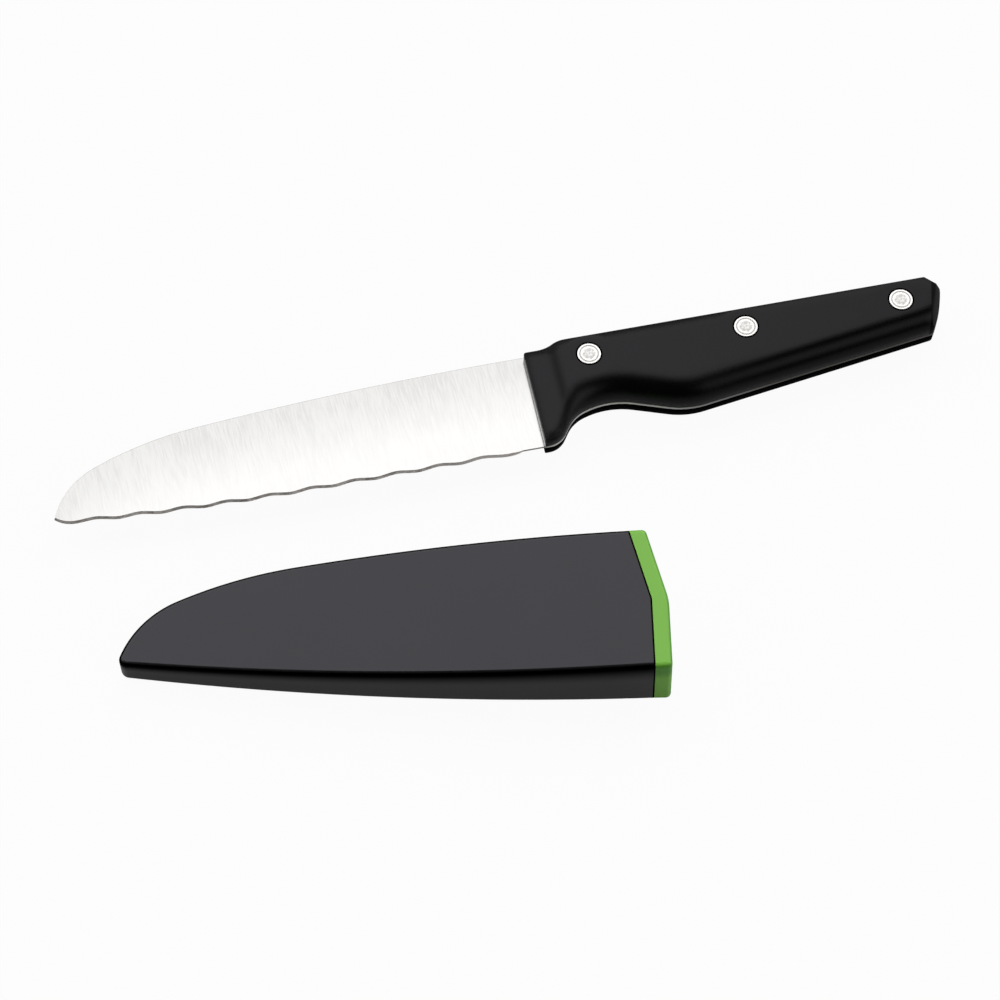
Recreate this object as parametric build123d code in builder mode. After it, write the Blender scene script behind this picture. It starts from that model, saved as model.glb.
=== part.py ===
from build123d import *
import os
from math import atan, cos, radians, sin, tan

# A bread knife and its sharpening scabbard, lying side by side on a table.
# +X runs from the knife's tip to its butt, +Y from its cutting edge to its spine, +Z up from the table.
# The origin is on the table, under the middle of the two pieces.  Millimetres.

# Blade and tang
BLADE_LENGTH = 150.0  # handle front to tip
BLADE_DEPTH = 32.0  # spine to plain edge, at the heel
BLADE_THICKNESS = 1.5  # at the spine, and all over the tang
EDGE_THICKNESS = 0.55  # what the flat grind leaves
TIP_DROP = 27.2  # tip below the spine line
TIP_ANGLE = 70.2  # slope of the spine where it meets the tip
NOSE_RADIUS = 25.6
NOSE_TURN = 48.2
SHOULDER_RADIUS = 112.0
SHOULDER_TURN = 17.0
PLAIN_EDGE = 6.9  # length without scallops in front of the heel
TIP_EDGE = 4.0  # length without scallops behind the tip
SCALLOP_PITCH = 13.07
SCALLOP_DEPTH = 0.75
BELLY_START = 69.0  # where the edge begins to rise towards the tip
BELLY_RADIUS = 910.0

# Handle
HANDLE_LENGTH = 132.5
HANDLE_THICKNESS = 16.5
BOLSTER_THICKNESS = 8.3
BOLSTER_LENGTH = 4.1  # thin front part of the scales
SWELL_LENGTH = 8.8  # S-curve from there up to the full thickness
HEEL_FLAT = 1.45
HEEL_RADIUS = 6.6
HEEL_RISE = 55.0
HEEL_SLOPE = 2.9
SCOOP_FRONT_RADIUS = 12.0
SCOOP_FRONT_TURN = 35.5
SCOOP_REAR_RADIUS = 23.4
SCOOP_FALL = 19.5
SCOOP_SLOPE = 10.6
BELLY_ROUND = 25.0
BELLY_RISE = 8.1
GRIP_ROUND = 6.2  # large rounding along the lower edge
SPINE_ROUND = 0.7
FRONT_ROUND = 0.6  # along the bolster's front edge
HEEL_CORNER = 0.8
BUTT_CORNER = 3.0
BUTT_LEAN = 5.7  # how far the butt runs forward from its upper to its lower corner
BUTT_BULGE = 0.8
BUTT_INSET = 1.7  # facet's top edge, in from the butt's chord
BUTT_FACET_ANGLE = 19.5
BUTT_UPPER_ROUND = 1.8
BUTT_LOWER_ROUND = 0.9

# Cutler's rivets, each a headed sleeve with a headed pin pressed into it
RIVET_FIRST = 19.0  # from the handle front
RIVET_LAST = 14.3  # from the butt
RIVET_DROP = 6.8  # below the spine
RIVET_HEAD_DIAMETER = 7.2
RIVET_HEAD_THICKNESS = 1.4
RIVET_SLEEVE_DIAMETER = 4.4
RIVET_PIN_DIAMETER = 2.8
RIVET_PIN_GAP = 1.0  # from the pin's end to the underside of the sleeve's head
RIVET_RING_DIAMETER = 5.6
RIVET_RING_WIDTH = 0.3
RIVET_RING_DEPTH = 0.12
RIVET_HEAD_CLEARANCE = 0.12
RIVET_HOLE_CLEARANCE = 0.05

# Scabbard body
NOSE_ROOM = 8.1  # scabbard longer than the blade
EDGE_ROOM = 8.0  # from the scabbard's lower edge to a sheathed blade's edge
SPINE_ROOM = 5.7  # from a sheathed blade's spine to the scabbard's upper edge
MOUTH_THICKNESS = 22.3
NOSE_THICKNESS = 9.2
SCABBARD_WALL = 1.8
LOWER_SAG = 3.2  # bulge of the lower edge below its chord
NOSE_RISE = 9.6  # nose above the lower edge's level at the mouth
SCABBARD_NOSE_ANGLE = 75.5
SCABBARD_NOSE_RADIUS = 30.2
SCABBARD_NOSE_TURN = 52.9
SCABBARD_SHOULDER_RADIUS = 135.0
SCABBARD_SHOULDER_TURN = 15.4
NOSE_CORNER = 2.6
MOUTH_KINK = 22.3  # height at which the mouth begins to slant back
MOUTH_SLANT_ANGLE = 13.855  # of the mouth above the kink, from square to the bore
KINK_ROUND = 20.0
FORM_ROUND = 1.5  # along the edges of the two flat sides

# Mouth cap
CAP_FLANGE = 5.0
CAP_CORNER = 1.6
RIM_DEPTH = 6.0
RIM_WALL = 1.2
RIM_CLEARANCE = 0.1
SLOT_WIDTH = 4.8
SLOT_MARGIN = 1.0
SLOT_LEAD = 0.8
CHEEK_SPACING = 12.6  # between the inner faces
CHEEK_THICKNESS = 1.6
CHEEK_LENGTH = 29.5
CHEEK_HEIGHT = 13.6  # top of the cheeks above the scabbard's lower edge
FLOOR_LEVEL = 2.0
FLOOR_THICKNESS = 1.0

# Sprung sharpener
ARM_LENGTH = 20.0  # pivot to V
PIVOT_DEPTH = 26.0  # behind the mouth
PIVOT_HEIGHT = 5.4
PIN_DIAMETER = 2.4
PIN_CLEARANCE = 0.05
BARREL_DIAMETER = 4.2
ARM_SIDE_CLEARANCE = 0.3
ARM_UNDERSIDE = 5.5
ARM_TOP = 7.3
HEAD_LENGTH = 7.0
HEAD_UNDERSIDE = 5.9
HEAD_HEIGHT = 9.6
HEAD_SLOT_WIDTH = 4.4
HEAD_SLOT_FLOOR = 8.4
ARM_TRAVEL = 1.2  # how far the V rises over the edge's level with the blade out
BAR_ANGLE = 22.0
BAR_WIDTH = 2.0
BAR_THICKNESS = 1.6
BAR_LENGTH = 8.6
BAR_TAIL = 2.3  # length below the crossing
BAR_GAP = 0.6  # between the two bars, along the bore
PIP_DIAMETER = 2.0
PIP_LENGTH = 1.4
PIP_HEIGHT = 11.0
PIP_CLEARANCE = 0.3  # all round the stretch the pips travel
SPRING_DIAMETER = 5.0
SPRING_WIRE = 0.45
SPRING_TURNS = 2.5
SPRING_CLEARANCE = 0.05

# Layout on the table
LAYOUT_DEPTH = 118.3  # knife's spine to scabbard's lower corner
SCABBARD_TURN = -10.54
SCABBARD_MOUTH_X = 14.3  # mouth's lower corner behind the handle front

CUT_MARGIN = 5.0  # overshoot of cutting solids

# Knife frame: origin on the spine at the handle front, in the middle of the blade's thickness
knife_x = (BLADE_LENGTH - HANDLE_LENGTH) / 2
knife_y = LAYOUT_DEPTH / 2
half_handle = HANDLE_THICKNESS / 2
half_blade = BLADE_THICKNESS / 2
knife_plane = Plane(origin=(knife_x, knife_y, half_handle))
knife_side = Plane(origin=knife_plane.origin, x_dir=(1, 0, 0), z_dir=(0, -1, 0))
knife_section = Plane(origin=knife_plane.origin, x_dir=(0, 1, 0), z_dir=(1, 0, 0))


def direction(angle):
    """Unit vector in a sketch, at an angle from its x axis."""
    return Vector(cos(radians(angle)), sin(radians(angle)))


def edge_level(x):
    """Height of the scallops' crests, which is straight and then rises on the belly's radius."""
    along = max(0.0, -x - BELLY_START)
    return -BLADE_DEPTH + along**2 / (2 * BELLY_RADIUS)


def scallop_points():
    """Crests and troughs of the wavy edge, half a pitch apart, from the plain edge to the tip."""
    points = []
    along = PLAIN_EDGE
    while along < BLADE_LENGTH - TIP_EDGE:
        drop = SCALLOP_DEPTH if len(points) % 2 else 0.0
        points.append((-along, edge_level(-along) - drop))
        along += SCALLOP_PITCH / 2
    return points


def blade_outline():
    """Spine, nose, wavy edge and plain edge, closed along the handle front."""
    tip = (-BLADE_LENGTH, -TIP_DROP)
    nose = JernArc(tip, direction(TIP_ANGLE), NOSE_RADIUS, -NOSE_TURN)
    shoulder = JernArc(nose @ 1, nose % 1, SHOULDER_RADIUS, -SHOULDER_TURN)
    TangentArc(shoulder @ 1, (0, 0), tangent=shoulder % 1)
    waves = scallop_points()
    Line((0, 0), (0, -BLADE_DEPTH))
    Line((0, -BLADE_DEPTH), waves[0])
    Spline(*waves, tip)


def butt_corners():
    """Upper and lower corners of the butt, the lower one on the line of the handle's lower edge."""
    upper = Vector(HANDLE_LENGTH, -BUTT_CORNER)
    heel = Vector(HEEL_FLAT, -BLADE_DEPTH)
    point = heel + HEEL_RADIUS * Vector(sin(radians(HEEL_RISE)), 1 - cos(radians(HEEL_RISE)))
    point += HEEL_SLOPE * direction(HEEL_RISE)
    angle = HEEL_RISE
    for radius, turn in (
        (SCOOP_FRONT_RADIUS, -SCOOP_FRONT_TURN),
        (SCOOP_REAR_RADIUS, SCOOP_FRONT_TURN - HEEL_RISE - SCOOP_FALL),
    ):
        point += 2 * radius * sin(radians(-turn / 2)) * direction(angle + turn / 2)
        angle += turn
    point += SCOOP_SLOPE * direction(-SCOOP_FALL)
    turn = SCOOP_FALL + BELLY_RISE
    point += 2 * BELLY_ROUND * sin(radians(turn / 2)) * direction(turn / 2 - SCOOP_FALL)
    lower_x = HANDLE_LENGTH - BUTT_LEAN
    lower = Vector(lower_x, point.Y + (lower_x - point.X) * tan(radians(BELLY_RISE)))
    return upper, lower


def handle_outline():
    """Outline of the tang and of both scales: spine, butt, belly, finger scoop and heel."""
    upper, lower = butt_corners()
    flat = Line((0, -BLADE_DEPTH), (HEEL_FLAT, -BLADE_DEPTH))
    heel = JernArc(flat @ 1, flat % 1, HEEL_RADIUS, HEEL_RISE)
    slope = PolarLine(heel @ 1, HEEL_SLOPE, direction=heel % 1)
    front = JernArc(slope @ 1, slope % 1, SCOOP_FRONT_RADIUS, -SCOOP_FRONT_TURN)
    rear_turn = HEEL_RISE + SCOOP_FALL - SCOOP_FRONT_TURN
    rear = JernArc(front @ 1, front % 1, SCOOP_REAR_RADIUS, -rear_turn)
    fall = PolarLine(rear @ 1, SCOOP_SLOPE, direction=rear % 1)
    belly = JernArc(fall @ 1, fall % 1, BELLY_ROUND, SCOOP_FALL + BELLY_RISE)
    Line(belly @ 1, lower)
    SagittaArc(lower, upper, -BUTT_BULGE)
    Line(upper, (HANDLE_LENGTH - BUTT_CORNER, 0))
    Line((HANDLE_LENGTH - BUTT_CORNER, 0), (0, 0))
    Line((0, 0), (0, -BLADE_DEPTH))


def butt_rounds():
    """The butt's corners, each with its rounding."""
    upper, lower = butt_corners()
    return (upper, BUTT_UPPER_ROUND), (lower, BUTT_LOWER_ROUND)


def rivet_places():
    """Rivet centres in the knife's frame, from the handle front to the butt."""
    pitch = (HANDLE_LENGTH - RIVET_FIRST - RIVET_LAST) / 2
    return [(RIVET_FIRST + i * pitch, -RIVET_DROP) for i in range(3)]


# ---- Blade with its full tang ----
with BuildPart() as blade:
    with BuildSketch(knife_plane):
        with BuildLine():
            blade_outline()
        make_face()
    extrude(amount=BLADE_THICKNESS, both=True)
    # flat grind: both faces lean in from the spine to the edge
    with BuildSketch(knife_section):
        with BuildLine():
            low = BLADE_DEPTH + SCALLOP_DEPTH
            thin = EDGE_THICKNESS / 2
            slope = (half_blade - thin) / low
            Polyline(
                (CUT_MARGIN, half_blade + slope * CUT_MARGIN),
                (CUT_MARGIN, -half_blade - slope * CUT_MARGIN),
                (-low - CUT_MARGIN, -thin + slope * CUT_MARGIN),
                (-low - CUT_MARGIN, thin - slope * CUT_MARGIN),
                close=True,
            )
        make_face()
    extrude(amount=-BLADE_LENGTH - CUT_MARGIN, mode=Mode.INTERSECT)
    with BuildSketch(knife_plane):
        with BuildLine():
            handle_outline()
        make_face()
        with Locations(*rivet_places()):
            Circle(RIVET_SLEEVE_DIAMETER / 2 + RIVET_HOLE_CLEARANCE, mode=Mode.SUBTRACT)
    extrude(amount=half_blade, both=True)
    for corner, radius in butt_rounds():
        fillet(blade.edges().sort_by_distance(knife_plane.from_local_coords(corner))[0], radius)
blade.part.label = "blade"

# ---- Handle scales ----
bolster_half = BOLSTER_THICKNESS / 2
swell_end = BOLSTER_LENGTH + SWELL_LENGTH
with BuildPart() as handle_scale_upper:
    with BuildSketch(knife_plane.offset(half_blade)):
        with BuildLine():
            handle_outline()
        make_face()
    extrude(amount=half_handle - half_blade)
    outer = handle_scale_upper.faces().sort_by(Axis.Z)[-1]
    lower_edges = outer.edges().filter_by(
        lambda e: e.center().Y < knife_y - RIVET_DROP * 2
        and knife_x + HEEL_FLAT / 4 < e.center().X < knife_x + HANDLE_LENGTH - 2 * BUTT_LEAN
    )
    fillet(lower_edges, GRIP_ROUND)
    # thin front part and the S-curve that swells to the full thickness
    with BuildSketch(knife_side):
        with BuildLine():
            mid = Vector(BOLSTER_LENGTH + SWELL_LENGTH / 2, (bolster_half + half_handle) / 2)
            below_front = (0, bolster_half - FRONT_ROUND)
            front = RadiusArc(below_front, (FRONT_ROUND, bolster_half), FRONT_ROUND)
            shelf = Line(front @ 1, (BOLSTER_LENGTH, bolster_half))
            rise = TangentArc(shelf @ 1, mid, tangent=(1, 0))
            crest = TangentArc(mid, (swell_end, half_handle), tangent=rise % 1)
            Line(crest @ 1, (swell_end, half_handle + CUT_MARGIN))
            Line((swell_end, half_handle + CUT_MARGIN), (-CUT_MARGIN, half_handle + CUT_MARGIN))
            Line((-CUT_MARGIN, half_handle + CUT_MARGIN), (-CUT_MARGIN, bolster_half - FRONT_ROUND))
            Line((-CUT_MARGIN, bolster_half - FRONT_ROUND), below_front)
        make_face()
    extrude(amount=BLADE_DEPTH * 2, both=True, mode=Mode.SUBTRACT)
    # sloping facets of the butt
    upper, lower = butt_corners()
    corner = Vector(HANDLE_LENGTH - BUTT_CORNER, 0)
    for start, end in ((upper, lower), (corner, upper)):
        along = (end - start).normalized()
        outward = Vector(-along.Y, along.X)
        place = knife_plane.from_local_coords(start)
        facet = Plane(origin=place, x_dir=outward, z_dir=Vector(0, 0, 1).cross(outward) * -1)
        reach = BUTT_INSET + BUTT_BULGE + BUTT_CORNER
        with BuildSketch(facet):
            with BuildLine():
                Polyline(
                    (-BUTT_INSET, half_handle),
                    (reach - BUTT_INSET, half_handle),
                    (reach - BUTT_INSET, half_handle - reach / tan(radians(BUTT_FACET_ANGLE))),
                    close=True,
                )
            make_face()
        extrude(amount=HANDLE_LENGTH / 4, both=True, mode=Mode.SUBTRACT)
    # rivet holes, counterbored for the heads
    with BuildSketch(knife_plane):
        with Locations(*rivet_places()):
            Circle(RIVET_SLEEVE_DIAMETER / 2 + RIVET_HOLE_CLEARANCE)
    extrude(amount=half_handle, mode=Mode.SUBTRACT)
    with BuildSketch(knife_plane.offset(half_handle - RIVET_HEAD_THICKNESS)):
        with Locations(*rivet_places()):
            Circle(RIVET_HEAD_DIAMETER / 2 + RIVET_HEAD_CLEARANCE)
    extrude(amount=RIVET_HEAD_THICKNESS, mode=Mode.SUBTRACT)
    # soften the spine edge from the bolster to the butt, then the butt's upright corners
    above_front = half_handle + bolster_half - FRONT_ROUND / 4
    spine_side = handle_scale_upper.faces().sort_by(Axis.Y)[-1]
    spine_edges = spine_side.edges().filter_by(
        lambda e: e.center().Z > above_front and e.center().X > knife_x + FRONT_ROUND
    )
    fillet(spine_edges, SPINE_ROUND)
    for corner, radius in butt_rounds():
        point = knife_plane.from_local_coords(Vector(corner.X, corner.Y, half_blade + radius / 2))
        fillet(handle_scale_upper.edges().sort_by_distance(point)[0], radius)
    # round the heel's upright corner against the blade
    with BuildSketch(knife_plane):
        with Locations((HEEL_CORNER, HEEL_CORNER - BLADE_DEPTH)):
            side = HEEL_CORNER + CUT_MARGIN
            Rectangle(side, side, align=(Align.MAX, Align.MAX))
            Circle(HEEL_CORNER, mode=Mode.SUBTRACT)
    extrude(amount=half_handle, mode=Mode.SUBTRACT)
handle_scale_upper.part.label = "handle_scale_upper"

with BuildPart() as handle_scale_lower:
    add(mirror(handle_scale_upper.part, about=knife_plane, mode=Mode.PRIVATE))
handle_scale_lower.part.label = "handle_scale_lower"


# ---- Cutler's rivets ----
head_radius = RIVET_HEAD_DIAMETER / 2
sleeve_radius = RIVET_SLEEVE_DIAMETER / 2
pin_radius = RIVET_PIN_DIAMETER / 2
ring_radius = RIVET_RING_DIAMETER / 2
rivet_sleeves = []
rivet_pins = []
for name, (x, y) in zip(("front", "middle", "rear"), rivet_places()):
    centre = knife_plane.from_local_coords(Vector(x, y))
    axis_plane = Plane(origin=centre, x_dir=(1, 0, 0), z_dir=(0, -1, 0))
    with BuildPart() as sleeve:
        with BuildSketch(axis_plane):
            with BuildLine():
                Polyline(
                    (0, half_handle),
                    (ring_radius - RIVET_RING_WIDTH / 2, half_handle),
                    (ring_radius, half_handle - RIVET_RING_DEPTH),
                    (ring_radius + RIVET_RING_WIDTH / 2, half_handle),
                    (head_radius, half_handle),
                    (head_radius, half_handle - RIVET_HEAD_THICKNESS),
                    (sleeve_radius, half_handle - RIVET_HEAD_THICKNESS),
                    (sleeve_radius, RIVET_HEAD_THICKNESS - half_handle),
                    (pin_radius, RIVET_HEAD_THICKNESS - half_handle),
                    (pin_radius, half_handle - RIVET_HEAD_THICKNESS),
                    (0, half_handle - RIVET_HEAD_THICKNESS),
                    close=True,
                )
            make_face()
        revolve(axis=Axis(centre, (0, 0, 1)))
    sleeve.part.label = "rivet_sleeve_" + name
    rivet_sleeves.append(sleeve)
    with BuildPart() as pin:
        with BuildSketch(axis_plane):
            with BuildLine():
                Polyline(
                    (0, -half_handle),
                    (ring_radius - RIVET_RING_WIDTH / 2, -half_handle),
                    (ring_radius, RIVET_RING_DEPTH - half_handle),
                    (ring_radius + RIVET_RING_WIDTH / 2, -half_handle),
                    (head_radius, -half_handle),
                    (head_radius, RIVET_HEAD_THICKNESS - half_handle),
                    (pin_radius, RIVET_HEAD_THICKNESS - half_handle),
                    (pin_radius, half_handle - RIVET_HEAD_THICKNESS - RIVET_PIN_GAP),
                    (0, half_handle - RIVET_HEAD_THICKNESS - RIVET_PIN_GAP),
                    close=True,
                )
            make_face()
        revolve(axis=Axis(centre, (0, 0, 1)))
    pin.part.label = "rivet_pin_" + name
    rivet_pins.append(pin)

# Scabbard frame: origin at the lower edge of the mouth, in the middle of the thickness.
# +X points out of the mouth and +Y from the lower edge to the upper edge.
# The body is a wedge that lies on a flat side, so its middle plane leans by half the wedge's angle.
scabbard_length = BLADE_LENGTH + NOSE_ROOM
scabbard_height = EDGE_ROOM + BLADE_DEPTH + SPINE_ROOM
half_mouth = MOUTH_THICKNESS / 2
half_nose = NOSE_THICKNESS / 2
mouth_slope = tan(radians(MOUTH_SLANT_ANGLE))
mouth_setback = mouth_slope * (scabbard_height - MOUTH_KINK)
side_slope = (half_mouth - half_nose) / scabbard_length
lean = atan(side_slope)
turn = radians(SCABBARD_TURN)
bore_x = Vector(cos(lean) * cos(turn), cos(lean) * sin(turn), sin(lean))
bore_z = Vector(-sin(lean) * cos(turn), -sin(lean) * sin(turn), cos(lean))
corner_x = knife_x + SCABBARD_MOUTH_X
corner_y = -LAYOUT_DEPTH / 2 - CAP_FLANGE * sin(turn)
scabbard_origin = Vector(corner_x, corner_y, 0) + half_mouth * bore_z
scabbard_plane = Plane(origin=scabbard_origin, x_dir=bore_x, z_dir=bore_z)
across = scabbard_plane.y_dir
scabbard_side = Plane(origin=scabbard_origin, x_dir=bore_x, z_dir=-across)


def scabbard_section(x):
    """Plane across the bore at x: its own x runs to the upper edge, its y through the thickness."""
    return Plane(origin=scabbard_plane.from_local_coords(Vector(x, 0, 0)), x_dir=across, z_dir=bore_x)


def scabbard_outline(reach):
    """Lower edge, nose and upper edge, run on straight past the mouth and closed there."""
    nose = (-scabbard_length, NOSE_RISE)
    lower = SagittaArc((0, 0), nose, LOWER_SAG)
    tight = JernArc(nose, direction(SCABBARD_NOSE_ANGLE), SCABBARD_NOSE_RADIUS, -SCABBARD_NOSE_TURN)
    round_ = JernArc(tight @ 1, tight % 1, SCABBARD_SHOULDER_RADIUS, -SCABBARD_SHOULDER_TURN)
    upper = TangentArc(round_ @ 1, (-mouth_setback, scabbard_height), tangent=round_ % 1)
    run_on = PolarLine(upper @ 1, reach, direction=upper % 1)
    Line(run_on @ 1, (reach, MOUTH_KINK))
    Line((reach, MOUTH_KINK), (reach, 0))
    Line((reach, 0), lower @ 0)


def mouth_region(start):
    """Everything beyond the mouth's face moved along the bore to start, in the scabbard's plane."""
    beyond = scabbard_height + CUT_MARGIN
    Polyline(
        (start, -CUT_MARGIN),
        (start, MOUTH_KINK),
        (start - mouth_slope * (beyond - MOUTH_KINK), beyond),
        (scabbard_length, beyond),
        (scabbard_length, -CUT_MARGIN),
        close=True,
    )


def scabbard_prism(reach, inset):
    """Wedge inside the scabbard's outline, taken in on every side but the mouth's."""
    with BuildPart() as prism:
        with BuildSketch(scabbard_plane):
            with BuildLine():
                scabbard_outline(reach + inset)
            make_face()
            if inset:
                offset(amount=-inset, kind=Kind.INTERSECTION)
            fillet(vertices().sort_by(Axis.X)[0], NOSE_CORNER)
        extrude(amount=MOUTH_THICKNESS, both=True)
        with BuildSketch(scabbard_side):
            with BuildLine():
                far = -scabbard_length - CUT_MARGIN
                near = reach + CUT_MARGIN
                far_half = half_mouth + side_slope * far - inset
                near_half = half_mouth + side_slope * near - inset
                corners = ((far, far_half), (near, near_half), (near, -near_half), (far, -far_half))
                Polyline(*corners, close=True)
            make_face()
        extrude(amount=scabbard_height * 2, both=True, mode=Mode.INTERSECT)
    return prism.part


# ---- Scabbard: outer form, cut into the shell and the cap's flange at the mouth ----
with BuildPart() as scabbard_form:
    add(scabbard_prism(CAP_FLANGE, 0))
    kink = scabbard_plane.from_local_coords(Vector(CAP_FLANGE, MOUTH_KINK))
    fillet(scabbard_form.edges().sort_by_distance(kink)[0], KINK_ROUND)
    for corner in (Vector(CAP_FLANGE, 0), Vector(CAP_FLANGE - mouth_setback, scabbard_height)):
        point = scabbard_plane.from_local_coords(corner)
        fillet(scabbard_form.edges().sort_by_distance(point)[0], CAP_CORNER)
    sides = scabbard_form.faces().sort_by(SortBy.AREA)[-2:]
    fillet(sides.edges(), FORM_ROUND)

cavity = scabbard_prism(CAP_FLANGE * 2, SCABBARD_WALL)
with BuildPart() as scabbard_shell:
    add(scabbard_form.part)
    with BuildSketch(scabbard_plane):
        with BuildLine():
            mouth_region(0)
        make_face()
    extrude(amount=MOUTH_THICKNESS, both=True, mode=Mode.SUBTRACT)
    add(cavity, mode=Mode.SUBTRACT)
scabbard_shell.part.label = "scabbard_shell"

# ---- Mouth cap: flange, rim inside the shell, and the cheeks that carry the sharpener ----
rim_inset = SCABBARD_WALL + RIM_CLEARANCE
rim_outer = scabbard_prism(CAP_FLANGE / 2, rim_inset)
rim_inner = scabbard_prism(CAP_FLANGE, rim_inset + RIM_WALL)
with BuildPart() as rim:
    add(rim_outer)
    add(rim_inner, mode=Mode.SUBTRACT)
    with BuildSketch(scabbard_plane):
        with BuildLine():
            mouth_region(-RIM_DEPTH)
        make_face()
    extrude(amount=MOUTH_THICKNESS, both=True, mode=Mode.INTERSECT)

v_x = ARM_LENGTH - PIVOT_DEPTH
cheek_inner = CHEEK_SPACING / 2
cheek_outer = cheek_inner + CHEEK_THICKNESS
arm_half = cheek_inner - ARM_SIDE_CLEARANCE
window_half = PIP_DIAMETER / 2 + PIP_CLEARANCE
pip_drift = (PIP_HEIGHT - PIVOT_HEIGHT) * ARM_TRAVEL / ARM_LENGTH
slot_low = EDGE_ROOM - SLOT_MARGIN
slot_high = EDGE_ROOM + BLADE_DEPTH + SCALLOP_DEPTH + SLOT_MARGIN


def on_slot_rim(edge):
    """Whether an edge lies round the slot, on the outer face of the mouth."""
    place = scabbard_plane.to_local_coords(edge.center())
    face_x = CAP_FLANGE - mouth_slope * max(0.0, place.Y - MOUTH_KINK)
    around = SLOT_MARGIN / 2
    beside = abs(place.Z) < SLOT_WIDTH / 2 + around
    along = slot_low - around < place.Y < slot_high + around
    return beside and along and place.X > face_x - SLOT_LEAD


with BuildPart() as mouth_cap:
    add(scabbard_form.part)
    with BuildSketch(scabbard_plane):
        with BuildLine():
            mouth_region(0)
        make_face()
    extrude(amount=MOUTH_THICKNESS, both=True, mode=Mode.INTERSECT)
    add(rim.part)
    for side in (1, -1):
        with BuildSketch(scabbard_plane.offset(side * cheek_inner)):
            with Locations((-CHEEK_LENGTH, FLOOR_LEVEL)):
                Rectangle(CHEEK_LENGTH, CHEEK_HEIGHT - FLOOR_LEVEL, align=(Align.MIN, Align.MIN))
            with Locations((-PIVOT_DEPTH, PIVOT_HEIGHT)):
                Circle(PIN_DIAMETER / 2, mode=Mode.SUBTRACT)
            with Locations((v_x + pip_drift / 2, PIP_HEIGHT - ARM_TRAVEL / 2)):
                RectangleRounded(
                    2 * window_half + pip_drift,
                    2 * window_half + ARM_TRAVEL,
                    window_half / 2,
                    mode=Mode.SUBTRACT,
                )
        extrude(amount=side * CHEEK_THICKNESS)
    with BuildSketch(scabbard_section(0)):
        with Locations((FLOOR_LEVEL, 0)):
            Rectangle(FLOOR_THICKNESS, 2 * cheek_outer, align=(Align.MIN, Align.CENTER))
    extrude(amount=-CHEEK_LENGTH)
    with BuildSketch(scabbard_section(0)) as slot:
        with Locations(((slot_low + slot_high) / 2, 0)):
            RectangleRounded(slot_high - slot_low, SLOT_WIDTH, SLOT_WIDTH / 4)
    extrude(amount=MOUTH_THICKNESS, both=True, mode=Mode.SUBTRACT)
    rims = mouth_cap.edges().filter_by(on_slot_rim)
    chamfer(rims, SLOT_LEAD)
mouth_cap.part.label = "mouth_cap"

# ---- Sharpener: sprung arm with two crossing bars ----
v_height = EDGE_ROOM + ARM_TRAVEL


def bar_section(side):
    """One bar's section across the bore, leaning to its side and touching the bottom of the V."""
    middle = BAR_LENGTH / 2 - BAR_TAIL
    lean_x = cos(radians(BAR_ANGLE))
    lean_y = side * sin(radians(BAR_ANGLE))
    centre_x = v_height + middle * lean_x - BAR_WIDTH / 2 * abs(lean_y)
    centre_y = middle * lean_y + side * BAR_WIDTH / 2 * lean_x
    with Locations((centre_x, centre_y)):
        Rectangle(BAR_LENGTH, BAR_WIDTH, rotation=side * BAR_ANGLE)


sharpening_bars = []
for name, side in (("left", 1), ("right", -1)):
    with BuildPart() as bar:
        with BuildSketch(scabbard_section(v_x + side * BAR_GAP / 2)):
            bar_section(side)
        extrude(amount=side * BAR_THICKNESS)
    bar.part.label = "sharpening_bar_" + name
    sharpening_bars.append(bar)

with BuildPart() as sharpener_arm:
    with BuildSketch(scabbard_plane):
        with Locations((-PIVOT_DEPTH, PIVOT_HEIGHT)):
            Circle(BARREL_DIAMETER / 2)
        with Locations((-PIVOT_DEPTH, ARM_UNDERSIDE)):
            Rectangle(ARM_LENGTH - HEAD_LENGTH / 2, ARM_TOP - ARM_UNDERSIDE, align=(Align.MIN, Align.MIN))
        with Locations((v_x, HEAD_UNDERSIDE)):
            Rectangle(HEAD_LENGTH, HEAD_HEIGHT, align=(Align.CENTER, Align.MIN))
        with Locations((-PIVOT_DEPTH, PIVOT_HEIGHT)):
            Circle(PIN_DIAMETER / 2 + PIN_CLEARANCE, mode=Mode.SUBTRACT)
    extrude(amount=arm_half, both=True)
    with BuildSketch(scabbard_plane):
        with Locations((v_x, PIP_HEIGHT)):
            Circle(PIP_DIAMETER / 2)
    extrude(amount=arm_half + PIP_LENGTH, both=True)
    with BuildSketch(scabbard_section(v_x)):
        with Locations((HEAD_SLOT_FLOOR, 0)):
            Rectangle(HEAD_HEIGHT, HEAD_SLOT_WIDTH, align=(Align.MIN, Align.CENTER))
    extrude(amount=HEAD_LENGTH, both=True, mode=Mode.SUBTRACT)
    for bar in sharpening_bars:
        add(bar.part, mode=Mode.SUBTRACT)
sharpener_arm.part.label = "sharpener_arm"

with BuildPart() as arm_pivot_pin:
    with BuildSketch(scabbard_plane):
        with Locations((-PIVOT_DEPTH, PIVOT_HEIGHT)):
            Circle(PIN_DIAMETER / 2)
    extrude(amount=cheek_outer, both=True)
arm_pivot_pin.part.label = "arm_pivot_pin"

spring_low = FLOOR_LEVEL + FLOOR_THICKNESS + SPRING_CLEARANCE + SPRING_WIRE / 2
spring_high = HEAD_UNDERSIDE - SPRING_CLEARANCE - SPRING_WIRE / 2
with BuildPart() as arm_spring:
    with BuildLine():
        coil = Helix(
            pitch=(spring_high - spring_low) / SPRING_TURNS,
            height=spring_high - spring_low,
            radius=(SPRING_DIAMETER - SPRING_WIRE) / 2,
            center=scabbard_plane.from_local_coords(Vector(v_x, spring_low)),
            direction=across,
        )
    with BuildSketch(Plane(origin=coil @ 0, z_dir=coil % 0)):
        Circle(SPRING_WIRE / 2)
    sweep()
arm_spring.part.label = "arm_spring"

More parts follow.
